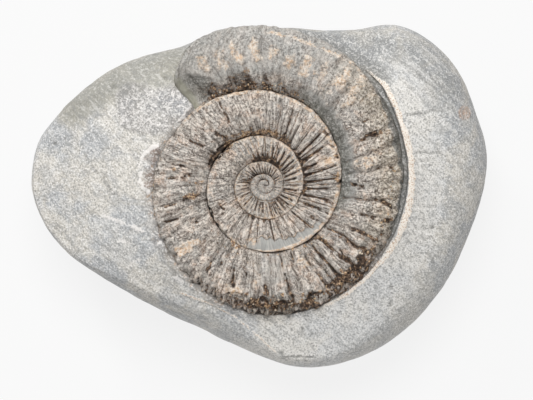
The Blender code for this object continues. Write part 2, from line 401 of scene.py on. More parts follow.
# %% [markdown]
# The sea has rounded the stone, so its lumps are low. What stands out is near the shell: a pale
# crest on the rim where shell stuck to the stone, a trench inside it, and beyond it the faint
# print of ribs that have worn away. Each line of the brush table is one mark: its half width, how
# its edge is shaken, where it eases in, what the noise leaves of it, how high on the stone it is,
# its strokes.

# %% Marks on the stone
RUST_SPOT = (50.5, 18.2)
STONE_LUMPS = ((0.32, 15.0, 151), (0.16, 6.5, 152), (0.07, 2.6, 153), (0.035, 1.1, 154))
CREST_LINE = (
    (26, 28.2), (29.9, 25.1), (32.9, 19), (35.2, 12.8), (36.7, 6.4), (36.9, 0), (35.9, -6.3),
    (33.8, -12.3), (30.5, -17.6), (26.5, -22.2), (22, -26.2), (17, -29.5), (11.5, -31.6),
    (5.8, -32.9), (0, -33.2),
)
STONE_BRUSHES = {
    "sparry": (
        5, (0.3, 111), (0, 0.35), UNBROKEN, TOP_FACE,
        ((-33.1, 21.8), (-28.6, 19.8), (-21.1, 20.5)), ((-32.4, 17.5), (-26.1, 16.8))),
    "white": (
        0.6, (0.3, 111), (0, 0.6), (-1.1, 0.5), TOP_FACE,
        ((-22.2, 25), (-20.4, 22.2), (-18.7, 20.4), (-19.1, 18.5), (-21, 16.5), (-22.8, 14.8),
        (-25, 14.3), (-27.4, 14.7), (-29.2, 16.4))),
    "scallops": (
        0.75, (0.25, 137), (0, 0.5), UNBROKEN, TOP_FACE,
        ((-26.6, 9.9), (-28.8, 8.9), (-30.1, 7.5), (-30.7, 5.4), (-30.8, 3.2), (-30.9, 1.1),
        (-30.3, -0.6), (-28.9, -1.7)), ((-32.6, -10.4), (-30.4, -11.6))),
    "streaks": (
        2.2, (0.3, 111), (0, 0.9), (-0.3, 0.5), TOP_FACE,
        ((-41.1, -9.2), (-34.9, -11.8), (-28.6, -12.8)),
        ((-39.9, -15.8), (-33.6, -17.5), (-26.6, -19.2)),
        ((-30.6, -14.8), (-29.4, -16.8), (-27.4, -17.2)),
        ((8.9, -33.2), (18.9, -30.8), (28.9, -25.8)), ((-24, -22), (-18.6, -25.5))),
    "olive": (
        6.5, STEADY, (0, 0.6), UNBROKEN, UPPER_SIDE,
        ((-48.6, 19.8), (-38.6, 25.8), (-28.6, 28.2)), ((-31.1, 27.8), (-22.1, 30.8))),
    "groove": (
        1.1, STEADY, (0, 0.9), UNBROKEN, TOP_FACE,
        ((-21.6, 25.3), (-19.9, 23.8), (-18.4, 21.6), (-17.2, 19.2))),
    "veins": (
        0.75, (0.4, 139), (0, 0.7), (-0.9, 0.3), ANY_HEIGHT,
        ((-40.7, -7.3), (-36, -9.2), (-32, -10.6), (-28, -12.5)),
        ((-34.1, -20.5), (-30.2, -17.6), (-26.1, -14)), ((-24.5, -21.5), (-20.5, -24)),
        ((-36.6, -13.6), (-33.4, -14.4))),
    "shade": (
        4.5, (0.3, 111), (0, 0.9), (-1.2, 0.6), ANY_HEIGHT,
        ((-37, -14.5), (-29, -16.5), (-22, -22.5)), ((-27.5, 11.5), (-31.5, 9))),
    "spots": (
        0.85, (0.3, 111), (0, 0.6), UNBROKEN, TOP_FACE,
        (-38.1, 24.5), (-24.9, 26.8), (-52.9, 10.5), (41.9, -19.2), (31.6, -25.8), (31.9, -29.5),
        (9.6, -36.2), (4.1, -42.2), (42.1, -10.5)),
    "stain": (
        2, (0.5, 133), (0, 0.4), (-0.9, 0.1), ANY_HEIGHT,
        ((-27, 8), (-28.6, 6.4), (-29.2, 3.4), (-29, 0.6)), ((-25.6, -3), (-25.2, -7)),
        ((-23.6, -12), (-20.6, -16.8), (-16.6, -21.2), (-11.6, -26))),
    "cracks": (
        0.55, (0.3, 131), (0.2, 0.9), UNBROKEN, TOP_FACE,
        ((35.6, 17.2), (38.9, 18), (41.9, 18.5), (44.9, 18.8)),
        ((37.9, 29), (42.1, 23.2), (43.1, 21.2)), ((37.6, 8.2), (43.9, 8.2)),
        ((-44.9, 6.2), (-40.1, 0.8), (-36.1, -5)), ((5.4, -43.2), (12.1, -43.4))),
    # painted shade: darkens the hollow beside the body chamber, which is also lowered a little
    "valley": (
        6.4, STEADY, (0, 0.7), UNBROKEN, ANY_HEIGHT,
        ((5.1, 37.2), (12.6, 35.8), (20.1, 32.2), (27.6, 27.2))),
    # painted shade: darkens the upper slopes at the top right and the upper left
    "lobe_shade": (
        9, STEADY, (0, 0.9), UNBROKEN, UPPER_SIDE,
        ((12, 38), (28, 35), (40, 33), (46, 24)), ((-48, 20), (-36, 28), (-20, 33))),
    "edge": (
        0.55, (0.15, 117), (0.1, 0.9), (-1.2, 0), ANY_HEIGHT,
        ((-21.1, -27), (-14.1, -29.5), (-7.1, -33.2), (-1.6, -38.2), (2.9, -42))),
}


def nodule_marks(angles, rings, from_rim, points):
    """Colour marks from 0 to 1 and relief in millimetres for the whole stone."""
    noise = roughness_of(points, 2.4, 3, 101)
    (sparry, white, scallops, streaks, olive, groove, veins, shade, spots, stain, cracks, valley,
     lobe_shade, edge) = paint(points, noise, STONE_BRUSHES)
    top = step(*TOP_FACE, points[..., 2])
    signed = (angles + 180) % 360 - 180
    right = between(-66, 46, 6, signed)
    low_side = between(250, 332, 8, angles)
    # painted light: the lower side of the stone is lightened away from the rim
    painted_light_low_side = between(250, 330, 25, angles) * step(1, 4, from_rim)

    lower = step(-12, -40, signed)
    crest = strokes(ragged_points(points, 0.24, 115), 1.1, [CREST_LINE])
    crest = (step(0.3 * lower, 0.55 + 0.25 * lower, crest) * step(-1.3, -0.3, noise)
             * (0.15 + 0.85 * step(-92, -50, signed)) * (0.35 + 0.65 * step(50, 34, signed))
             * (0.7 + 0.3 * step(-60, -15, signed)) * step(-0.45, -0.1, from_rim))
    beyond = step(-0.12, 0.12, rings - EDGE_RING + 0.06 * noise)
    # painted shade: the side beyond the edge is darkened at the lower left and the right, and the
    # left of the top face a little
    painted_side_shade = (beyond * (0.13 * between(205, 262, 6, angles) + 0.22 * right)
             + 0.09 * (1 - beyond) * between(140, 225, 12, angles))
    # painted light: the top face right of the rim is lightened
    painted_light_right = (1 - beyond) * right * step(0.4, 1.5, from_rim)
    spot = strokes(points, 1.9, [RUST_SPOT])
    rust = step(0, 0.25, spot) * (1 - 0.7 * between(0.35, 0.6, 0.08, spot)) * top

    inside = step(LIP_RING - 0.5, LIP_RING + 0.5, rings)
    # painted shade in the trench between the shell and the rim, less on the low side
    trench = inside * step(0.15, -0.3, from_rim) * (1 - around(angles, CONTACT))
    touching = between(128, 260, 6, angles) * between(8.8, 12.5, 0.6, rings)
    ragged = between(132, 256, 6, angles) * step(2, 0.1, from_rim + 0.9 * noise)
    earth = low_side * inside * step(0.2 + 0.3 * noise, -0.35, from_rim) * (0.8 + 0.2 * noise)
    ghost = np.cos(math.tau * angles / 2.6 + 1.6 * lumps(points, 5.0, 141))
    ghost_zone = (right * between(-22, 14, 7, signed) * step(0.6, 2, from_rim) * top
                  * step(45.5, 41, points[..., 0] - AXIS_X) * step(-1, 0.2, noise))

    outside = step(9.5, 11, rings)
    relief = sum(depth * lumps(points, size, seed) for depth, size, seed in STONE_LUMPS)
    relief = (relief * step(10.5, 12.5, rings) + 0.34 * touching * noise
              + 0.22 * ragged * outside * roughness_of(points, 1.6, 2, 119)
              + crest * (0.12 + 0.14 * noise) * step(10.7, 11.3, rings)
              + 0.12 * edge + 0.25 * scallops + 0.22 * white + sparry * (0.15 + 0.1 * noise)
              + stain * (0.15 + 0.25 * noise) + 0.08 * ghost_zone * ghost
              - (0.7 * groove + 0.5 * valley) * outside - 0.3 * cracks - 0.175 * spots)
    marks = {
        "pale": strongest(0.9 * sparry, white, 0.6 * streaks),
        "vein": strongest(0.6 * white, scallops * step(-1.7, 0, noise), 0.72 * veins),
        # light: painted light on the right face and the lower side, and the real pale streaks
        "light": strongest(0.5 * painted_light_right, 0.45 * painted_light_low_side, 0.7 * streaks),
        "cream": strongest(crest, 0.7 * edge),
        # dark: painted shade in the valley, the trench, on the lobes, beyond the edge and between
        # the ghost ribs; real dark spots, cracks and a cool grey
        "dark": strongest(0.75 * valley, 0.85 * trench * (1 - 0.7 * low_side), 0.7 * spots,
                          0.7 * cracks, 0.5 * lobe_shade, painted_side_shade, 0.22 * shade,
                          # painted shade between the ghost ribs
                          0.2 * ghost_zone * (0.5 - 0.5 * ghost)),
        "earth": strongest(earth, 0.5 * ragged * step(8.5, 9.5, rings)),
        "olive": strongest(0.9 * olive, groove), "rust": rust, "stain": stain,
    }
    return marks, relief * step(9.2, 10.2, rings)


def lay_nodule():
    angles = np.linspace(0, 360, SPOKES + 1)
    controls = nodule_rings(angles % 360)
    places, radii, heights = fill_between(controls, RING_STEPS)
    angle_grid, ring_grid = np.meshgrid(angles, places, indexing="ij")
    points = polar(angle_grid, radii, heights)
    from_rim = radii - controls[RIM_RING, 0][:, None]
    marks, relief = nodule_marks(angle_grid % 360, ring_grid, from_rim, points)
    points = points - outward(points) * (relief * step(0, 3, heights))[..., None]
    points[-1] = points[0]
    return points, marks


stone = roll_sheet("nodule_stone", SPOKES, sum(RING_STEPS), lay_nodule)
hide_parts("matrix_stone")
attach(stone, "root")

# %% [markdown]
# On the flank of every whorl stand narrow ribs, on the outer whorls one every nine degrees or so,
# parted by thin furrows that lean a little towards the shell's mouth. A curve that counts ribs
# against turns puts each furrow in its place, and a fixed random number makes it deep or faint.

# %% Ribs
RIB_LEAN = 2.0 / 360
RIB_COUNT = (
    (-2, -160), (0, -125), (1, -98), (2, -58), (2.033, -57), (2.135, -53), (2.2, -50.4),
    (2.906, -22), (2.989, -19), (3.013, -18), (3.04, -17), (3.063, -16), (3.09, -15), (3.117, -14),
    (3.139, -13), (3.165, -12), (3.46, 0), (3.482, 1), (3.504, 2), (3.529, 3), (3.557, 4),
    (3.578, 5), (3.604, 6), (3.631, 7), (3.653, 8), (3.676, 9), (3.697, 10), (3.718, 11),
    (3.857, 17), (3.879, 18), (3.908, 19), (3.931, 20), (3.953, 21), (3.978, 22), (4, 23),
    (4.022, 24), (4.046, 25), (4.068, 26), (4.09, 27), (4.345, 38), (4.5, 44),
)
FURROW_WIDTH = ((-1, 0.25), (1.8, 0.23), (2.25, 0.19), (2.6, 0.13), (3, 0.105), (4.4, 0.12))
RIB_WEAR = (
    (-1, 0), (0, 0.3), (0.3, 0.9), (0.5, 0.8), (0.65, 0.2), (0.78, 0.3), (0.95, 0.8), (1.1, 1),
    (1.6, 1), (2, 1), (2.2, 1), (2.35, 0.6), (2.6, 0.4), (2.7, 0.75), (2.85, 0.95), (3, 1),
    (3.13, 1), (3.2, 0.7), (3.3, 0.45), (3.4, 0.3), (3.52, 0.45), (3.6, 0.7), (3.7, 0.9),
    (3.85, 1), (3.95, 0.95), (4.05, 0.8), (4.12, 0.55), (4.25, 0.55), (4.36, 0.45),
)


def per_rib(count, seed):
    """A fixed random number from -1 to 1 for the rib or furrow that each point is in."""
    number = np.rint(count).astype(np.int64) + 1000
    return corner_numbers(np.stack([number, 0 * number, 0 * number], axis=-1), seed)


def detail_size(turns):
    """How large ribs and grains are: they shrink with the whorl."""
    return np.clip(whorl(turns)[1] / 8.0, 0.05, 1.0) ** 0.75


def rib_relief(turns, share, points):
    """Height of the ribbed surface over the plain whorl, depth in a furrow, and rib count."""
    coarse = step(3.2, 3.55, turns)
    drift = 0.11 * lumps(points, 3.4, 11) + 0.05 * lumps(points, 1.4, 12)
    drift = drift * (0.35 + 0.65 * coarse)
    count = along(turns - RIB_LEAN * (share - 0.5), RIB_COUNT) + drift
    off_main, off_half = (np.abs(count + shift - np.rint(count + shift)) for shift in (0, 0.5))
    length = 0.82 + 0.14 * per_rib(count, 7)
    reach = step(length + 0.06, length - 0.10, share) * (1 - coarse) + coarse
    width = along(turns, FURROW_WIDTH) * (1.35 - 0.85 * share * (1 - coarse) - 0.35 * coarse)
    main = (np.exp(-(off_main / width) ** 2) * np.clip(0.8 + 0.45 * per_rib(count, 5), 0.15, 1)
            * reach)
    half = (np.exp(-(off_half / (0.7 * width)) ** 2)
            * np.clip(0.3 + 0.55 * per_rib(count + 0.5, 6), 0, 0.8))
    over_edge = between(3.60, 3.79, 0.03, turns)
    flank = step(0, 0.06, share) * np.maximum(step(1, 0.955, share), over_edge)
    worn_flank = flank * along(turns, RIB_WEAR)
    broken_up = 1 - coarse * step(0.15, -0.45, roughness_of(points, 3.6, 2, 15))
    furrow = strongest(main, half) * worn_flank * broken_up
    streaks = roughness_of(np.stack([count * 4.2, share * 1.7, 0 * share], axis=-1), 1.0, 2, 71)
    swell = 0.5 - 0.5 * np.cos(math.tau * count)
    height = detail_size(turns) * (-0.95 * furrow + 0.36 * swell * worn_flank
                                   + 0.15 * streaks * flank)
    return height - 0.35 * over_edge * (1 - swell) * step(0.82, 0.95, share), furrow, count


# %% [markdown]
# Wear and dirt differ from place to place. Curves of dirt, shade, crust and grit follow the
# spiral,
# in turns; slots, patches and crumbs are single brush strokes. Some marks are painted light:
# painted shade in seams, furrows, walls and the broken end, and painted highlights on crests and
# rib tops. They lower or raise the surface a little, and the same marks colour it later, so shape
# and colour always agree.

# %% Marks on the shell
FURROW_DIRT_AND_SHADE = (
    (-1, 0.1), (0, 0.3), (0.25, 0.8), (0.5, 0.6), (0.65, 0.2), (0.75, 0.2), (0.95, 0.7),
    (1.1, 0.8), (1.5, 0.8), (1.85, 0.9), (2, 1.05), (2.2, 1.05), (2.35, 0.5), (2.6, 0.35),
    (2.7, 0.65), (2.85, 0.95), (2.95, 1), (3.15, 1), (3.25, 0.45), (3.4, 0.25), (3.5, 0.2),
    (3.6, 0.45), (3.7, 0.5), (3.8, 0.6), (3.88, 0.9), (3.97, 0.5), (4.1, 0.3), (4.2, 0.25),
    (4.36, 0.2),
)
SEAM_DIRT_AND_SHADE = (
    (-1, 0.7), (0.5, 0.8), (1.1, 0.6), (1.2, 0.7), (1.35, 0.7), (1.5, 0.6), (2, 0.5), (2.15, 0.8),
    (2.3, 0.85), (2.4, 0.6), (2.7, 0.8), (2.85, 0.7), (3, 0.8), (3.1, 0.85), (3.2, 0.9),
    (3.42, 0.9), (3.48, 0.3), (3.56, 0.55), (3.7, 0.5), (3.8, 0.5), (3.95, 0.35), (4.1, 0.3),
    (4.2, 0.9), (4.34, 0.9),
)
CREST_SHOW = (
    (0.1, 0.2), (0.4, 0.6), (1, 0.8), (1.5, 0.8), (1.75, 1), (2, 1), (2.2, 0.9), (2.35, 0.7),
    (2.5, 0.5), (2.65, 0.6), (2.8, 1), (2.9, 1), (3.1, 1), (3.2, 0.8), (3.3, 0.85), (3.36, 0.9),
    (3.41, 0),
)
INNER_SHADE = (
    (-1, 0.3), (-0.95, 0.9), (-0.7, 0.9), (-0.6, 0.5), (-0.1, 0.4), (0.08, 1), (0.3, 1),
    (0.42, 0.4), (0.9, 0.2), (1.05, 0.6), (1.32, 0.65), (1.42, 0.2), (2, 0.2), (2.1, 0.35),
    (2.3, 0.3), (2.4, 0.1), (3.3, 0.1), (4.36, 0.1),
)
GRIT = (
    (-1, 0.1), (1, 0.2), (2, 0.3), (2.3, 0.65), (2.7, 0.7), (2.85, 0.35), (3.15, 0.35),
    (3.25, 0.6), (3.45, 0.62), (3.6, 0.62), (3.75, 0.6), (3.88, 0.7), (3.97, 1), (4.1, 0.95),
    (4.2, 0.6), (4.36, 0.5),
)
WALL_START = (
    (3.88, 0.965), (3.98, 0.96), (4.01, 0.95), (4.03, 0.925), (4.05, 0.89), (4.07, 0.905),
    (4.09, 0.95), (4.13, 0.97),
)
WINDOW_EDGE = (
    (2, 1.1), (2.7, 1.1), (2.71, 0.75), (2.74, 0.56), (2.78, 0.6), (2.822, 0.67), (2.856, 0.65),
    (2.88, 0.72), (2.905, 0.8), (2.92, 1.1), (3.5, 1.1),
)
# Each pocket of dirt: first and last turn, depth at the furrows' tips, reach into them, strength.
POCKETS = (
    (2.13, 2.33, 0.16, 0.34, 1), (2.95, 3.17, 0.04, 0.42, 0.95), (3.15, 3.4, 0.07, 0.16, 1),
    (1.15, 1.45, 0.1, 0.35, 0.9), (2.64, 2.8, 0.04, 0.08, 0.8), (3.38, 3.44, 0.12, 0.06, 1),
    (3.84, 3.96, 0.03, 0.12, 0.8), (4.18, 4.25, 0.09, 0.08, 0.9), (4.235, 4.34, 0.18, 0.14, 1),
)
# Each fallen patch of the body chamber: its angle and the radii that it runs between.
CHAMBER_PATCHES = (
    (44, 28.6, 30.6), (47, 32.6, 35.6), (54, 31.4, 34.6), (57, 28, 29.2), (62.5, 28.4, 32.4),
    (71, 29.4, 33.2), (78.5, 30.5, 31.8), (86, 32.4, 33.8), (94, 32, 34.8), (102, 32.4, 35.2),
    (109, 31, 35), (117, 33, 34.6),
)


def spoke(angle, low, high):
    """A stroke that runs straight out from the coiling axis."""
    turn = math.radians(angle)
    return [(radius * math.cos(turn), radius * math.sin(turn)) for radius in (low, high)]


SHAKEN, TORN = (0.34, 51), (0.75, 57)
SHELL_BRUSHES = {
    "wide_slots": (
        0.85, SHAKEN, (0, 0.7), (-0.9, 0), ANY_HEIGHT,
        ((24.4, 11.2), (26.6, 12.5), (28.4, 13)), ((27.6, -3.8), (29.6, -4.2), (31.4, -5.2)),
        ((26.9, -8), (28.9, -8.5), (30.9, -9)), ((21.6, -10.8), (24.4, -11.8), (28.1, -13.8)),
        ((24.4, -15.8), (26.1, -17.5)), ((17.4, -21.8), (19.6, -23), (21.9, -21.5), (23.9, -20.2)),
        ((15.9, -25.2), (17.9, -23.8), (19.9, -22.8)), ((-8.9, -27.5), (-6.6, -29.5)),
        ((-0.6, -28.5), (0.9, -29.2)), ((4.4, -28.8), (6.9, -30.2)), ((8.4, -28), (10.9, -28.5)),
        ((11.4, -27.2), (14.4, -26.8)), ((-7.6, -20.8), (-7.9, -25.5)), ((0.1, -25), (0.9, -27.2)),
        ((-13.6, 5), (-12.4, 7), (-10.6, 9), (-9.4, 9.8))),
    "narrow_slots": (
        0.55, SHAKEN, (0, 0.8), (-0.9, 0), ANY_HEIGHT,
        ((24.6, 15.5), (25.9, 16.2)), ((24.1, -7.2), (25.9, -7.8)), ((27.9, 4.2), (29.1, 4.5)),
        ((31.4, 4.2), (32.1, 4.2)), ((29.6, -1.2), (31.4, -0.5)), ((21.4, 0), (24.4, -0.2)),
        ((18.4, -12.8), (21.4, -14.5), (23.1, -15.8)), ((13.9, -17.5), (15.4, -19.2), (17.1, -21)),
        ((18.9, -16.5), (21.4, -18.8)), ((5.1, -21.8), (5.4, -23.8)), ((-4.9, -27.8), (-3.6, -30)),
        ((-10.6, -19.2), (-10.9, -23.8)), ((-4.9, -19.2), (-4.4, -22.5)),
        ((-13.1, -19.2), (-14.4, -21.8)), ((-15.9, 14.2), (-14.9, 13.8), (-12.9, 13), (-9.6, 12)),
        ((-11.1, 20.8), (-10.1, 18.8), (-8.6, 15), (-7.9, 13.8)), ((9.9, -4.5), (13.4, -5.8)),
        ((13.4, -6), (15.9, -7.2)), ((11.4, -7.8), (13.6, -8.8)), ((14.9, -3.8), (17.1, -4.5)),
        ((17.9, 7.8), (18.1, 6.8)), ((17.1, 2.2), (18.4, 2)), ((18.9, 0.8), (18.4, 0)),
        ((16.6, 10), (17.4, 9.5)), ((15.1, 13.5), (15.6, 12.8)), ((-20.4, 2.2), (-16.9, 2.5)),
        ((-23.6, 1.8), (-22.4, 1.8)), ((-20.4, -4), (-18.6, -3.5)), ((-17.1, -3), (-16.1, -2.5)),
        ((-24.9, -5.5), (-22.4, -4.8)), ((-24.6, -9.2), (-22.4, -8.5), (-20.9, -8)),
        ((-16.9, -9), (-16.1, -8.2)), ((-11.1, -5), (-10.1, -6)), ((-23.4, 5.8), (-21.9, 5)),
        ((-21.1, 5), (-20.1, 4.8)), ((-18.4, 11), (-15.1, 9.8)),
        ((-14.6, -3.8), (-12.9, -8), (-11.6, -10.2))),
    "patches": (
        2.5, TORN, (0.05, 0.8), UNBROKEN, ANY_HEIGHT,
        ((26.9, 7.5), (27.4, 6.8)), ((15.1, 6), (17.1, 6.2)), ((24.1, 5.5), (24.9, 6.2)),
        ((29.1, -5.5), (29.9, -6.8)), ((-3.1, -12.5), (-2.9, -13.8)),
        ((9.4, -19.2), (10.4, -20.5)), ((-2.4, -24.5), (-1.6, -25.5)),
        ((-9.6, -26.2), (-7.1, -26.8))),
    "fallen": (2.1, TORN, (0, 0.7), UNBROKEN, ANY_HEIGHT,
               *(spoke(*patch) for patch in CHAMBER_PATCHES)),
    "chip": (
        1.15, SHAKEN, (0, 0.4), UNBROKEN, ANY_HEIGHT,
        ((-21.6, -16), (-18.6, -14.8), (-16.9, -14.2)), ((-21.1, -16.8), (-18.6, -15.8))),
    "line": (
        1, SHAKEN, (0, 0.8), UNBROKEN, ANY_HEIGHT,
        ((-0.6, 38.8), (2.1, 38), (8.4, 36), (14.1, 34), (19.9, 31.5), (23.9, 28.8))),
    "crumbs": (
        0.75, SHAKEN, (0, 0.6), UNBROKEN, ANY_HEIGHT,
        (-0.1, -27), (4.6, -27), (9.6, -27), (2.9, -29.8), (7.9, -30.2), (-1.6, -28.8),
        (0.6, -30.2), (19.4, -21.2), (18.4, -24.2), (21.6, -21.8), (30.4, -9.2), (31.4, -8.8),
        (24.6, -16.2), (13.9, -26.2), (16.1, -26.5), (-4.6, -27), (10.1, -1.2), (17.6, 7.5),
        (17.9, 2.5), (18.1, 1), (15.1, -13.8), (10.1, -15.5), (6.9, -16.2), (-7.9, -14.5),
        (-6.9, -15.5), (-22.4, 3.8), (-19.9, -3), (29.1, 13), (-17.4, 0.6), (-17.6, -2.8)),
    "rusty": (
        1.5, SHAKEN, (0, 0.9), (-0.6, 0.4), ANY_HEIGHT,
        ((-9.6, 8.8), (-8.6, 11.2), (-6.1, 12.8), (-3.1, 13.2), (-0.1, 13.5), (2.9, 12.8)),
        ((-18.6, 0.2), (-16.1, 0.8)), ((-18.9, -2.8), (-16.4, -2.8)),
        ((-15.9, -4.5), (-14.9, -4.5))),
    "shadow": (
        2.4, (0.2, 53), (0, 0.5), UNBROKEN, ANY_HEIGHT,
        ((-18.4, 25.4), (-14.4, 24.9)), ((-17.4, 23.3), (-15.2, 23))),
    "lip": (
        1.35, STEADY, (0, 0.7), UNBROKEN, ANY_HEIGHT,
        ((-21.4, 26), (-19.9, 23.6), (-18, 21.4), (-16.8, 19.2))),
}


def shell_marks(turns, share, points, furrow, count):
    """Dirt, crust, rust and bare rock on the shell, each from 0 to 1, and their relief in mm.

    The dirt also holds painted shade, and the crust painted highlights.
    """
    half_wide = whorl(turns)[1]
    noise, fine = roughness_of(points, 1.8, 3, 61), lumps(points, 0.7, 66)
    t, s = turns + 0.004 * noise, share + 0.04 * noise
    grain, flaky = step(0.1, 0.5, fine + 0.4 * noise), step(-0.7, 0.5, noise + 0.6 * fine)
    wave = 0.5 + 0.5 * np.cos(math.tau * count)
    (wide_slots, narrow_slots, patches, fallen, chip, line, crumbs, rusty, shadow,
     lip) = paint(points, noise, SHELL_BRUSHES)
    fallen, shadow, lip = (mark * (turns > 4) for mark in (fallen, shadow, lip))
    line = 0.8 * line * flaky

    slots = np.maximum(wide_slots, 0.9 * narrow_slots)
    seam = (step(0.025 + 0.32 / np.maximum(half_wide, 1.5), 0.01, s) * along(turns, SEAM_DIRT_AND_SHADE)
            * (0.45 + 0.55 * step(-0.5, 0.5, noise)))
    teeth = wave**1.5 * np.clip(0.7 + 0.5 * per_rib(count, 17), 0, 1)
    pocket = np.max([between(first, last, 0.012, t) * amount
                     * step(0.09, -0.07, s + 0.05 * noise - depth - reach * teeth)
                     for first, last, depth, reach, amount in POCKETS], axis=0)
    venter = (between(3.70, 3.93, 0.05, t) * step(0.74, 0.82, s + 0.03 * noise)
              * (1 - 0.75 * step(3.82, 3.78, t) * step(0.92, 0.97, s)))
    ends = between(3.63, 3.80, 0.03, t) * step(0.80, 0.88, s)
    comb = 0.5 + 0.5 * np.cos(math.tau * (138 * turns - 3.5 * share + 0.3 * noise))
    wall = between(3.96, 4.19, 0.03, t) * step(0.30, 0.18, s)
    outer_wall = (between(3.945, 4.13, 0.025, t)
                  * step(-0.025, 0.02, share - along(turns, WALL_START) - 0.014 * noise))
    # dirt with painted shade: the inner walls and the outer wall are painted shade; the seams,
    # furrows and venter hold dirt and painted shade; the pockets and slots hold dirt
    dirt_and_shade = strongest(
        slots * (0.8 + 0.2 * grain), seam, 0.3 * outer_wall,
        pocket * (0.8 - 0.25 * step(3.0, 3.3, turns) + 0.3 * grain),
        1.25 * furrow * along(turns, FURROW_DIRT_AND_SHADE), 0.75 * ends * comb**2,
        venter * (0.15 + 0.75 * step(-0.5, 0.5, noise + fine)),
        0.8 * venter * wave * step(3.8, 3.76, turns),
        along(turns, INNER_SHADE) * step(0.42, 0.02, s) * (0.8 + 0.2 * grain))

    scallops = 0.035 * np.cos(math.tau * turns * 360 / 9.4) * (turns > 2.6) + 0.008 * noise
    past_edge = share + scallops - along(turns, WINDOW_EDGE)
    window = step(-0.012, 0.012, past_edge) * (turns < 3.2)
    outline = step(0.028, 0, np.abs(past_edge + 0.02)) * between(2.70, 2.93, 0.01, turns)
    first = 0.885 + 0.02 * step(2.2, 2.6, turns) - 0.03 * between(2.8, 3.15, 0.05, turns)
    # partly painted highlight: the pale crest line on each whorl's outer edge, also raised a
    # little
    crest = (step(first, first + 0.025, share + 0.01 * noise) * along(turns, CREST_SHOW)
             * (0.35 + 0.65 * step(-0.8, 0.4, noise + 0.7 * fine)))
    rim_crust = (between(2.82, 3.17, 0.05, t) * step(0.70, 0.86, s)
                 * step(-0.1, 0.5, noise + fine))
    patches = np.maximum(patches * (0.25 + 0.55 * flaky), 0.85 * fallen * (0.45 + 0.4 * flaky))
    # painted highlight on the rib tops of the inner whorls
    rib_top_highlights = step(0.55, 0.95, 1 - wave) * step(2.6, 2.2, turns) * step(0.1, 0.4, s)
    crust_and_highlight = strongest(0.85 * crest, 0.6 * rim_crust, 0.9 * patches, 0.9 * chip, 0.8 * line,
                      0.8 * outline, 0.45 * ends * (1 - comb), 0.58 * rib_top_highlights) * (1 - 0.9 * slots)
    rust = strongest(crumbs, rusty, venter * step(0.25, 0.7, fine),
                     0.5 * pocket * step(0.15, 0.6, -noise) * step(3.1, 3.2, turns),
                     0.45 * between(3.36, 3.62, 0.02, t) * step(0.90, 0.97, s))

    patch = between(3.742, 3.79, 0.006, t) * between(0.03, 0.52, 0.04, s)
    chamber = step(4.08, 4.2, t) * step(0.2, 0.3, s)
    bare = strongest(window, 0.45 * patch, 0.9 * wall, 0.5 * step(1.15, 0.85, turns),
                     0.72 * chamber, 0.9 * outer_wall,
                     0.55 * step(3.98, 4.02, t) * step(0.3, 0.1, s),
                     0.5 * between(3.53, 3.67, 0.03, t) * step(0.82, 0.95, s))
    # painted shade in dark grey: the outer wall by the trench, the inner wall at the right, the
    # broken end and the left of the body chamber
    painted_grey_shade = strongest(0.9 * outer_wall, 0.66 * shadow, 0.2 * chamber * step(4.26, 4.32, t),
                      0.85 * between(3.95, 4.19, 0.02, t) * step(0.24, 0.10, s),
                      0.6 * between(3.745, 3.785, 0.004, t) * step(0.6, 0.8, s))
    patchy = 0.72 + 0.50 * lumps(points, 4.5, 69) + 0.25 * noise
    grit = np.clip(along(turns, GRIT) * patchy * (1 - 0.4 * wall) * (1 - window), 0, 1)

    coarse = step(3.1, 3.5, turns) * (1 - 0.5 * chamber)
    knobs = (np.exp(-((share - 0.86) / 0.05) ** 2) * between(2.85, 3.17, 0.05, turns)
             * step(0, 0.6, fine))
    plates = step(-0.12, 0.12, roughness_of(points, 2.6, 3, 68, 0.6)) - 0.5
    relief = detail_size(turns) * (
        0.15 * coarse * noise + 0.09 * fine * (0.25 + 0.75 * coarse) + 0.16 * crest
        + 0.30 * knobs - 0.20 * window - 0.35 * pocket * grain
        + plates * (0.10 + 0.16 * coarse) * (1 - window) * (1 - 0.7 * wall))
    relief = (relief + 0.12 * (patches + line) + 0.25 * chip - 0.55 * slots + 0.30 * crumbs
              + 0.34 * venter * (noise + 0.6 * fine) - 0.7 * shadow + 0.45 * lip
              - 0.4 * ends * comb)
    return {
        "dirt_and_shade": dirt_and_shade * (1 - lip), "crust_and_highlight": crust_and_highlight * (1 - lip), "painted_grey_shade": painted_grey_shade * (1 - lip),
        "rust": rust * (1 - 0.5 * slots), "bare": bare * (1 - 0.8 * patches), "lip": lip,
        "smooth": strongest(window + 0.25 * patch + 0.25 * wall), "grit": grit * (1 - 0.8 * lip),
        "moss": between(3.92, 4.15, 0.04, t) * step(0.40, 0.75, s) * (1 - outer_wall),
    }, relief


# %% [markdown]
# A whorl's section is laid row by row along the spiral. It is a rounded tube with a steep inner
# wall, a broad flank and a narrow outer edge that stands as a thin crest over the next seam. The
# rows are bent towards the shell's broken mouth, and the last few close it as a rounded end.

# %% The whorls
CROSS_STEPS = (2, 2, 3, 3, 3, 5, 6, 5, 5, 4, 4, 4, 3, 2, 1, 1, 1, 1, 1, 1, 1)
TOP_ROWS = 13
END_TILTS = (14, 30, 47, 65, 80)
END_LENGTH = 1.3
ROW_PLACES, ROWS_PER_TURN = (-1, 0, 1, 2, 3, 3.5, 4.36), (60, 80, 130, 250, 520, 640, 640)
MOUTH_ANGLES = (
    (0, 131.2), (0.05, 131), (0.25, 130), (0.4, 130.2), (0.58, 130), (0.68, 128.2), (0.78, 125.2),
    (0.86, 122.4), (0.93, 119.6), (0.98, 117), (1, 115),
)
OUTER_SHOULDER = (
    (0, 0.95), (8, 0.925), (14, 0.9), (20, 0.885), (28, 0.93), (60, 0.93), (150, 0.93),
    (200, 0.93), (240, 0.86), (270, 0.8), (300, 0.81), (325, 0.87), (345, 0.92),
)


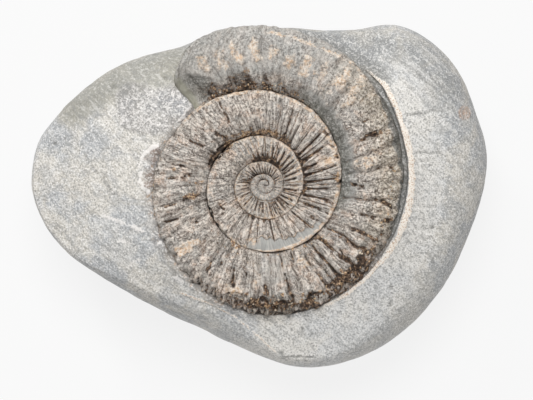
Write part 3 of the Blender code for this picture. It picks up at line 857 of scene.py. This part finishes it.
def shell_profile(turns):
    """Control points across the whorl: a share of the width and a share of the thickness."""
    chamber = step(4.08, 4.2, turns)
    shoulder = around(turns * 360, OUTER_SHOULDER)
    shoulder = shoulder + (0.975 - shoulder) * step(3.42, 3.34, turns)
    shoulder = shoulder * (1 - chamber) + 0.86 * chamber - 0.07 * step(1.4, 0.9, turns)
    rest = 1 - shoulder
    early = step(2.2, 1.2, turns)
    core = step(-0.5, -0.8, turns)
    rows = [
        (1, 0), (1, 0.2), (0.997, 0.5 - 0.2 * early),
        (shoulder + 0.62 * rest, 0.72 - 0.22 * early),
        (shoulder + 0.1 * rest, 0.87 - 0.05 * chamber - 0.14 * early),
        (shoulder - 0.05, 0.93 - 0.08 * early), (0.72, 0.985 - 0.02 * early), (0.55, 1),
        (0.42, 0.985 - 0.04 * early), (0.31, 0.93 - 0.08 * early), (0.21, 0.80 - 0.08 * early),
        (0.12, 0.65 - 0.12 * early + 0.3 * core), (0.05, 0.53 - 0.15 * early + 0.4 * core),
        (0.004, 0.42 - 0.15 * early + 0.4 * core), (0, 0.2), (0, 0), (0.05, -0.45),
        (0.25, -0.85), (0.5, -1), (0.75, -0.85), (0.95, -0.45), (1, 0),
    ]
    return np.array([(across + 0 * turns, up + 0 * turns) for across, up in rows])


def shell_turns():
    """Turns at which a row is laid: the rows keep about the same spacing in millimetres."""
    turns = [-1.0]
    while turns[-1] < APERTURE:
        turns.append(turns[-1] + 1 / np.interp(turns[-1], ROW_PLACES, ROWS_PER_TURN))
    return np.array(turns[:-1] + [APERTURE] * (1 + len(END_TILTS)))


def lay_shell():
    turns = shell_turns()
    tilts = np.radians(np.concatenate([np.zeros(len(turns) - len(END_TILTS)), END_TILTS]))
    tilts, half_thick = tilts[:, None], whorl(turns)[2][:, None]
    places, share, lift = fill_between(shell_profile(turns), CROSS_STEPS)
    outer = shell_edge(turns)
    inner = shell_edge(turns - 1) * step(-0.2, 0.1, turns)
    centre, half_wide = (outer + inner)[:, None] / 2, (outer - inner)[:, None] / 2
    turn_grid = np.repeat(turns[:, None], len(places), axis=1)

    near_end = step(4 + 78 / 360, APERTURE, turn_grid)
    angles = turn_grid * 360 + near_end * (along(share, MOUTH_ANGLES) - MOUTH_ANGLE)
    broken = step(4 + 117 / 360, APERTURE, turn_grid) * between(0, 0.62, 0.16, share)
    lift = np.where(lift > 0, lift * (1 - 0.45 * broken), lift)
    shrink = np.cos(tilts)
    radii = centre + (share * 2 - 1) * half_wide * shrink
    plain_points = polar(angles, radii, 0)
    wobble = 0.15 * lumps(plain_points, 2.4, 91) + 0.09 * lumps(plain_points, 1.0, 92)
    radii = radii + wobble * np.minimum(half_wide / 4, 1) * step(0.5, 0.95, share) * (lift > 0)
    angles = angles + np.degrees(END_LENGTH * np.sin(tilts) / np.maximum(radii, 5))
    points = polar(angles, radii, MID_PLANE_Z + lift * half_thick * shrink)

    seen = step(TOP_ROWS + 1.2, TOP_ROWS - 0.5, places)[None, :] * shrink
    ribs, furrow, count = rib_relief(turn_grid, share, points)
    marks, relief = shell_marks(turn_grid, share, points, furrow * seen, count)
    height = (ribs * (1 - marks["smooth"]) + relief) * seen * step(-1, -0.6, turn_grid)
    points = points + outward(points) * height[..., None]
    points[:, -1] = points[:, 0]
    points[0] = points[0].mean(axis=0)
    points[-1] = points[-1].mean(axis=0)
    marks.update(count=count, share=share, bare=np.maximum(marks["bare"], 0.8 * broken),
                 lip=np.maximum(marks["lip"], step(0.1, 0.35, tilts)))
    return points, marks


shell = roll_sheet("ammonite_shell", len(shell_turns()) - 1, sum(CROSS_STEPS), lay_shell)
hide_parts("ammonite")
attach(shell, "root")

# %% [markdown]
# In the seams lie loose-looking crumbs of ochre and brown crust, some as small as sand. Each is a
# small shaken icosphere of 20 faces, dropped on the surface from above and sunk about half its
# depth. A seed fixes the random draws, so the crumbs lie in the same places each time.

# %% Crumbs of crust
# Each path: how many crumbs, how far they stray, the largest radius, and the line they follow.
CRUMB_PATHS = (
    (150, 1.5, 0.34, ((-9, -28.3), (-1, -29.6), (9, -29.4), (17, -25.6), (22, -21.4),
    (26.5, -16))), (90, 1.1, 0.3, ((-13.5, 22), (-7, 24.6), (0, 25.2), (5, 24))), (60, 0.6, 0.24,
    ((-12.5, 6), (-9, 9.6), (-6, 12.4), (0, 13.8), (5, 12.4))), (36, 0.8, 0.28, ((29, -13),
    (31.2, -6), (31.8, 4))), (40, 0.4, 0.24, ((-12, -14.5), (-6.5, -17.3), (8, -17.6),
    (14.5, -12.5))),
)
CRUMB_SINK = 0.35
DROP_HEIGHT = 0.06
DOWN = Vector((0, 0, -1))


def height_map(piece):
    """A search tree of a piece's faces, to find the surface below a point."""
    bm = bmesh.new()
    bm.from_mesh(piece.data)
    tree = BVHTree.FromBMesh(bm)
    bm.free()
    return tree


def scatter_crumbs():
    """Drop crumbs along the paths, and return one mesh with a tint for each crumb."""
    draw = np.random.default_rng(7)
    trees = [height_map(piece) for piece in (shell, stone)]
    bm = bmesh.new()
    tints = []
    for count, spread, largest, path in CRUMB_PATHS:
        path = np.array(path)
        for _ in range(count):
            place = draw.uniform(0, len(path) - 1)
            first = int(place)
            spot = path[first] + (path[first + 1] - path[first]) * (place - first)
            spot = (spot + draw.normal(0, spread / 2, 2) + (AXIS_X, AXIS_Y)) * MM
            radius = largest * draw.uniform(0.4, 1.0) ** 1.5
            hits = [tree.ray_cast(Vector((*spot, DROP_HEIGHT)), DOWN)[0] for tree in trees]
            ground = max((hit for hit in hits if hit), key=lambda hit: hit.z)
            middle = ground + Vector((0, 0, radius * (1 - 2 * CRUMB_SINK) * MM))
            flat = Matrix.Diagonal((*(draw.uniform(0.7, 1.3, 2) * MM), 0.8 * MM, 1.0))
            made = bmesh.ops.create_icosphere(bm, subdivisions=1, radius=radius,
                                              matrix=Matrix.Translation(middle) @ flat)
            for vertex in made["verts"]:
                vertex.co += Vector(draw.uniform(-0.22, 0.22, 3) * radius * MM)
            tints += [draw.uniform(0, 1)] * len(made["verts"])
    bmesh.ops.recalc_face_normals(bm, faces=bm.faces)
    mesh = bpy.data.meshes.new("seam_crumbs")
    bm.to_mesh(mesh)
    bm.free()
    mesh.attributes.new("tint", "FLOAT", "POINT").data.foreach_set("value", tints)
    return mesh


crumbs = bpy.data.objects.new("seam_crumbs", scatter_crumbs())
bpy.context.scene.collection.objects.link(crumbs)
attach(crumbs, "root")
print("crumb triangles:", len(crumbs.data.polygons))

# %% [markdown]
# Every finish is built from nodes. Sums are easier to read as Python than as boxes and links, so
# one small class wraps a socket and lets the signs + - * add Math nodes. Every other node comes
# from one method that takes the node's type, its settings and what goes into its sockets. Colours
# are given as on a paint chart, from 0 to 255.

# %% Shader maths
class Wire:
    """A node's output that can take part in sums; each sum adds a Math node."""

    def __init__(self, finish, socket):
        self.finish, self.socket = finish, socket

    def maths(self, operation, first, second):
        return self.finish.node("ShaderNodeMath", {"operation": operation}, {0: first, 1: second})

    def __add__(self, other):
        return self.maths("ADD", self, other)

    def __sub__(self, other):
        return self.maths("SUBTRACT", self, other)

    def __rsub__(self, other):
        return self.maths("SUBTRACT", other, self)

    def __mul__(self, other):
        return self.maths("MULTIPLY", self, other)

    __radd__, __rmul__ = __add__, __mul__

    def size(self):
        """The value without its sign."""
        return self.maths("ABSOLUTE", self, 0.0)


def tone(red, green, blue):
    """A colour from 0 to 255, made linear for the shader."""
    parts = [part / 255 for part in (red, green, blue)]
    return tuple(part / 12.92 if part <= 0.04045 else ((part + 0.055) / 1.055) ** 2.4
                 for part in parts) + (1.0,)


class Finish:
    """One material; all of its nodes come from node()."""

    def __init__(self, name):
        self.material = bpy.data.materials.new(name)
        self.material.use_nodes = True
        self.tree = self.material.node_tree
        self.tree.nodes.clear()
        self.place = self.node("ShaderNodeTexCoord", {}, {}, "Object")

    def node(self, kind, settings, inputs, output=0):
        """Add a node: first its settings, then the value or link of each socket that is named."""
        node = self.tree.nodes.new(kind)
        for label, value in settings.items():
            setattr(node, label, value)
        for label, value in inputs.items():
            if isinstance(value, Wire):
                self.tree.links.new(value.socket, node.inputs[label])
            else:
                node.inputs[label].default_value = value
        return Wire(self, node.outputs[output]) if node.outputs else node

    def marks(self, *labels):
        """Marks that were laid on the mesh, each from 0 to 1."""
        return [self.node("ShaderNodeAttribute", {"attribute_name": label}, {}, "Fac")
                for label in labels]

    def noise(self, size, layers=2, rough=0.55, place=None, twist=0):
        """Cloudy noise about 0.5; the size of its clouds is in millimetres."""
        return self.node("ShaderNodeTexNoise", {}, {
            "Vector": place or self.place, "Scale": 1000 / size, "Detail": layers,
            "Roughness": rough, "Distortion": twist})

    def ease(self, low, high, value):
        """0 below low, 1 above high and smooth between; low may be the larger."""
        return self.node("ShaderNodeMapRange", {"interpolation_type": "SMOOTHSTEP"}, {
            "Value": value, "From Min": low, "From Max": high})

    def blend(self, share, under, over):
        """Lay one colour over another by a share from 0 to 1."""
        under, over = (colour if isinstance(colour, Wire) else tone(*colour)
                       for colour in (under, over))
        return self.node("ShaderNodeMix", {"data_type": "RGBA"}, {0: share, 6: under, 7: over}, 2)

    def coats(self, colour, *coats):
        """Lay coats over a ground colour; each coat is a share and a colour."""
        for share, over in coats:
            colour = self.blend(share, colour, over)
        return colour

    def close(self, colour, roughness, height, depth):
        """Join colour, roughness and bump in the surface shader."""
        normal = self.node("ShaderNodeBump", {}, {
            "Height": height, "Distance": depth * MM, "Strength": 1.0})
        surface = self.node("ShaderNodeBsdfPrincipled", {}, {
            "Base Color": colour, "Roughness": roughness, "Normal": normal,
            "Specular IOR Level": 0.3})
        self.node("ShaderNodeOutputMaterial", {}, {"Surface": surface})
        print(self.material.name, "nodes:", len(self.tree.nodes))
        return self.material


# %% [markdown]
# The nodule is a pale grey mudstone. Close up it is salt and pepper: fine light and dark grains
# with softer clouds of warmer and cooler grey. The brush marks tint it, and fine noise breaks
# their edges. The light and dark marks also hold painted light and painted shade on the stone's
# faces and hollows.

# %% Mudstone
def mudstone_finish():
    finish = Finish("pale_mudstone")
    ease, noise = finish.ease, finish.noise
    olive, pale, dark, earth, light, stain, rust, cream, vein = finish.marks(
        "olive", "pale", "dark", "earth", "light", "stain", "rust", "cream", "vein")
    clouds, mottle = noise(11, 4, 0.6, twist=0.4), noise(4, 4, 0.65)
    grain, fleck = noise(0.46, 2, 0.7), noise(0.32, 1, 0.6)
    sparkle, dots = noise(1.1, 2, 0.7, twist=0.5), noise(1.3, 1)
    turned = finish.node("ShaderNodeMapping", {"vector_type": "TEXTURE"}, {
        "Vector": finish.place, "Rotation": (0, 0, math.radians(-42)), "Scale": (8, 1, 1)})
    scratches = noise(0.85, 2, 0.6, place=turned)
    spar = ease(0.44, 0.56, sparkle)
    even = 1 - 0.5 * olive - 0.4 * dark
    colour = finish.coats(
        (186, 188, 190),
        (ease(0.42, 0.58, clouds), (215, 210, 201)),
        (ease(0.50, 0.62, mottle) * 0.42, (176, 178, 180)),
        (ease(0.50, 0.40, mottle) * 0.42, (222, 218, 210)),
        (olive * (0.55 + 0.45 * mottle), (190, 186, 171)),
        (pale * spar * 0.9, (224, 220, 217)),
        (pale * (1 - spar) * 0.6, (146, 144, 146)),
        # painted light on the right face and the lower side, with the real pale streaks
        (light * (0.6 + 0.8 * mottle), (228, 227, 224)),
        # painted shade in the trench, the valley, on the lobes and beyond the edge, with real dark
        # spots
        (dark * (0.75 + 0.4 * mottle), (98, 98, 94)),
        (stain * (0.5 + 0.8 * sparkle), (148, 128, 116)),
        (earth * ease(0.30, 0.5, grain + 0.3 * mottle - 0.15), (84, 65, 52)),
        (earth * ease(0.58, 0.66, sparkle), (190, 150, 110)),
        (rust * (0.5 + 0.5 * mottle), (196, 158, 130)),
        (ease(0.51, 0.66, grain) * 0.75 * even, (242, 240, 237)),
        (ease(0.49, 0.35, grain) * 0.70 * even, (126, 125, 123)),
        (ease(0.54, 0.68, fleck) * 0.38, (124, 122, 119)),
        (ease(0.54, 0.66, scratches) * 0.45, (146, 146, 144)),
        (ease(0.46, 0.36, scratches) * 0.30, (236, 234, 230)),
        (ease(0.2, 0.75, cream + 1.3 * grain - 0.65) * 0.9,
         finish.blend(ease(0.47, 0.36, fleck), (244, 236, 225), (190, 160, 134))),
        (ease(0.25, 0.75, vein + 1.0 * grain - 0.5) * 0.8, (236, 232, 228)),
        (ease(0.78, 0.86, dots) * 0.6, (96, 92, 86)))
    roughness = 0.82 + 0.12 * grain - 0.10 * olive
    height = 0.45 * grain + 0.25 * fleck + 0.5 * mottle + 0.6 * pale * spar + 0.25 * scratches
    return finish.close(colour, roughness, height, 0.26)


stone.data.materials.append(mudstone_finish())

# %% [markdown]
# The shell has turned to brownish stone. Its ribs carry fine lines that run with them, so this
# finish reads the rib count and the share of the width that were laid on the mesh. Dirt and
# painted shade fill furrows and seams, pale crust and painted highlights sit on the crests and rib
# tops, painted shade lies dark grey in the walls by the trench and in the broken end, and bare
# grey rock shows where the shell is gone.

# %% Fossil shell
def shell_finish():
    finish = Finish("brown_fossil_shell")
    ease, noise, blend = finish.ease, finish.noise, finish.blend
    bare, crust_and_highlight, dirt_and_shade, rust, painted_grey_shade, grit, smooth, moss, lip, count, share = finish.marks(
        "bare", "crust_and_highlight", "dirt_and_shade", "rust", "painted_grey_shade", "grit", "smooth", "moss", "lip", "count",
        "share")
    lanes = finish.node("ShaderNodeCombineXYZ", {}, {"X": count * 6.0, "Y": share * 2.6})
    lines = noise(1000, 3, 0.6, place=lanes, twist=0.5)
    clouds, mottle = noise(7, 3, 0.6), noise(2.2, 3, 0.65)
    warmth, grain = noise(3.2, 2, 0.6, twist=0.4), noise(0.62, 2, 0.7)
    fleck, crumb = noise(0.36, 1, 0.6), noise(0.9, 2, 0.7)
    threads, cracks = noise(1.5, 3, 0.7, twist=1.2), noise(1.9, 3, 0.7, twist=0.8)
    rough, worn = 1 - smooth, 1 - 0.75 * bare
    lined = worn * (1 - 0.6 * grit)
    thread = ease(0.022, 0.004, (threads - 0.5).size()) * rough
    crack = ease(0.026, 0.004, (cracks - 0.5).size()) * rough * worn
    dirt_and_shade_cover = ease(0.25, 0.72, dirt_and_shade + 1.2 * grain - 0.6)
    light = blend(bare, (244, 234, 222), (216, 214, 211))
    deep = blend(bare, (72, 60, 51), (96, 95, 93))
    colour = finish.coats(
        (172, 168, 163),
        (ease(0.40, 0.60, clouds), (197, 187, 177)),
        (ease(0.54, 0.64, warmth) * 0.65 * worn, (208, 178, 155)),
        (ease(0.50, 0.38, warmth) * 0.5, (152, 153, 148)),
        (ease(0.5, 0.64, mottle) * 0.55, (214, 201, 188)),
        (ease(0.5, 0.37, mottle) * 0.6, (140, 131, 124)),
        (bare * 0.85, (164, 165, 162)),
        (ease(0.50, 0.62, lines) * 0.8 * lined, (236, 228, 219)),
        (ease(0.48, 0.38, lines) * 0.9 * lined, (82, 70, 61)),
        (moss * 0.42, (164, 150, 122)),
        # painted shade in dark grey
        (painted_grey_shade * (0.7 + 0.5 * mottle), (86, 87, 79)),
        (ease(0.52, 0.64, grain) * 0.95 * grit, light),
        (ease(0.48, 0.36, grain) * 0.95 * grit, deep),
        (ease(0.55, 0.70, fleck) * 0.45 * rough, (104, 96, 88)),
        (thread * 0.55, light),
        (crack * 0.75, (62, 48, 39)),
        # crust, with painted highlights on the whorl crests and the rib tops
        (ease(0.22, 0.70, crust_and_highlight + 1.1 * grain - 0.55) * 0.88,
         blend(ease(0.38, 0.60, crumb), (216, 186, 156), (236, 226, 213))),
        (crust_and_highlight * ease(0.46, 0.36, fleck) * 0.65, (150, 122, 98)),
        (lip * 0.85, (150, 148, 133)),
        # dirt, with painted shade in the seams, furrows, venter and inner walls
        (dirt_and_shade_cover * 0.94, finish.coats(
            (40, 29, 23), (ease(0.42, 0.58, crumb), (100, 78, 62)),
            (ease(0.58, 0.66, crumb), (196, 166, 134)))),
        (ease(0.35, 0.75, rust + 2.0 * grain - 1.05) * 0.85,
         blend(ease(0.44, 0.60, fleck), (108, 80, 60), (218, 184, 144))))
    roughness = 0.80 + 0.15 * grain - 0.12 * bare
    height = ((0.8 * grain + 0.3 * fleck) * grit + 0.6 * mottle * worn + 0.8 * lines * lined
              + 0.3 * crumb * dirt_and_shade_cover - 0.25 * crack)
    return finish.close(colour, roughness, height, 0.36)


shell.data.materials.append(shell_finish())

# %% [markdown]
# The crumbs take their colour from the tint that each was given: brown, then ochre, then cream.

# %% Crumb crust
def crumb_finish():
    finish = Finish("crumb_crust")
    (tint,), fleck, ease = finish.marks("tint"), finish.noise(0.3, 1), finish.ease
    colour = finish.coats(
        (70, 52, 40),
        (ease(0.25, 0.45, tint), (140, 110, 84)),
        (ease(0.50, 0.65, tint), (206, 178, 144)),
        (ease(0.80, 0.90, tint), (228, 212, 190)),
        (ease(0.52, 0.62, fleck) * 0.5, (80, 62, 50)))
    return finish.close(colour, 0.85 - 0.1 * fleck, fleck, 0.05)


crumbs.data.materials.append(crumb_finish())

# %% [markdown]
# The stone stands on pale card under a large soft lamp at the upper left, with even light from
# all round. The camera looks straight down from a long way off, so that the outline is hardly
# widened.

# %% Studio
scene = bpy.context.scene
scene.view_settings.view_transform = "Standard"
WHITE = (1.0, 1.0, 1.0, 1.0)
LAMPS = (("soft_lamp", (-0.04, 0.38, 0.95), 0.5, 6.8),
         ("low_lamp", (-0.40, 0.72, 0.42), 0.16, 2.1))
SENSOR_WIDTH, VIEW_WIDTH, CAMERA_HEIGHT = 36.0, 133.25, 740


def add_to_scene(name, data):
    """Put a new object with this data into the scene."""
    item = bpy.data.objects.new(name, data)
    scene.collection.objects.link(item)
    return item


def set_inputs(node, **values):
    """Set constants on a node's sockets."""
    for label, value in values.items():
        node.inputs[label.replace("_", " ")].default_value = value


camera = add_to_scene("camera", bpy.data.cameras.new("camera"))
camera.data.sensor_width = SENSOR_WIDTH
camera.data.lens = SENSOR_WIDTH * 700 / VIEW_WIDTH
camera.data.clip_start = 0.01
camera.location = ((AXIS_X + 0.5) * MM, (AXIS_Y - 3.75) * MM, CAMERA_HEIGHT * MM)
scene.camera = camera

scene.world = bpy.data.worlds.new("studio")
scene.world.use_nodes = True
set_inputs(scene.world.node_tree.nodes["Background"], Color=WHITE, Strength=0.42)

for name, place, size, energy in LAMPS:
    lamp = add_to_scene(name, bpy.data.lights.new(name, "AREA"))
    lamp.data.shape = "DISK"
    lamp.data.size = size
    lamp.data.energy = energy
    lamp.location = place
    aim = Vector((0, 0, 0.03)) - lamp.location
    lamp.rotation_euler = aim.to_track_quat("-Z", "Y").to_euler()

card = bmesh.new()
bmesh.ops.create_grid(card, x_segments=1, y_segments=1, size=3.0)
floor = add_to_scene("card", bpy.data.meshes.new("card"))
card.to_mesh(floor.data)
card.free()
paper = bpy.data.materials.new("paper")
paper.use_nodes = True
surface = paper.node_tree.nodes["Principled BSDF"]
set_inputs(surface, Base_Color=(0.12, 0.12, 0.12, 1.0), Emission_Color=WHITE,
           Emission_Strength=0.82, Specular_IOR_Level=0.0)
floor.data.materials.append(paper)
